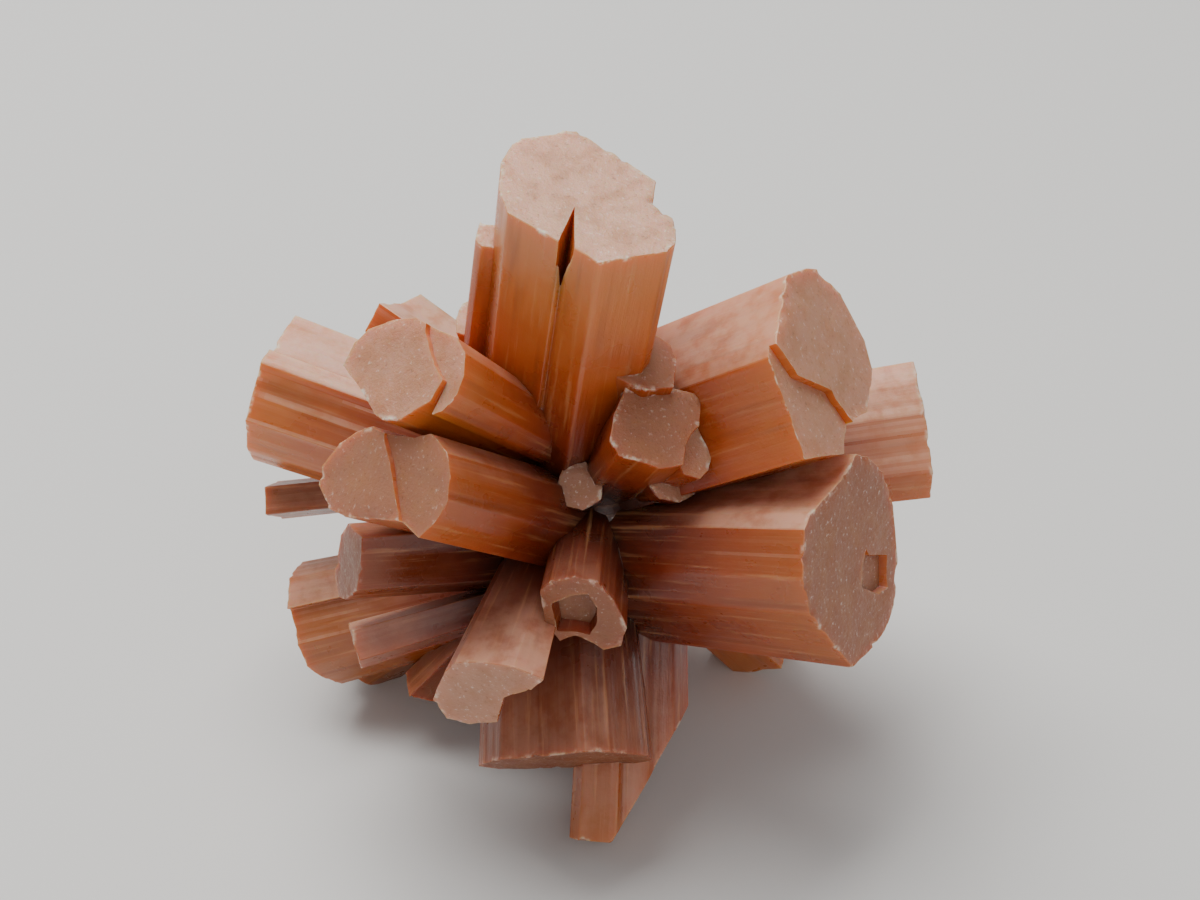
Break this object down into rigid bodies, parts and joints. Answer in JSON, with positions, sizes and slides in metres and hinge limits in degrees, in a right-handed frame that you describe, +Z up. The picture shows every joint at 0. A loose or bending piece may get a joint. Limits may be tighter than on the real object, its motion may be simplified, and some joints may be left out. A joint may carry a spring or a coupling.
{
  "type": "aragonite crystal cluster",
  "caption": "Natural ball of thick orange aragonite prisms with flat frosted end faces, grown outwards from one centre; stands on three crystal tips.",
  "frame": {"origin": "on the surface it stands on, under the middle of the cluster's box", "axes": "+Z up, as it stands in the picture; -Y towards the side that the picture shows, +X to the picture's right"},
  "size_m": [0.0424, 0.0348, 0.0422],
  "materials": {
    "aragonite": "satin"
  },
  "bodies": {
    "root": {"aragonite_cluster": "aragonite"}
  },
  "joints": []
}
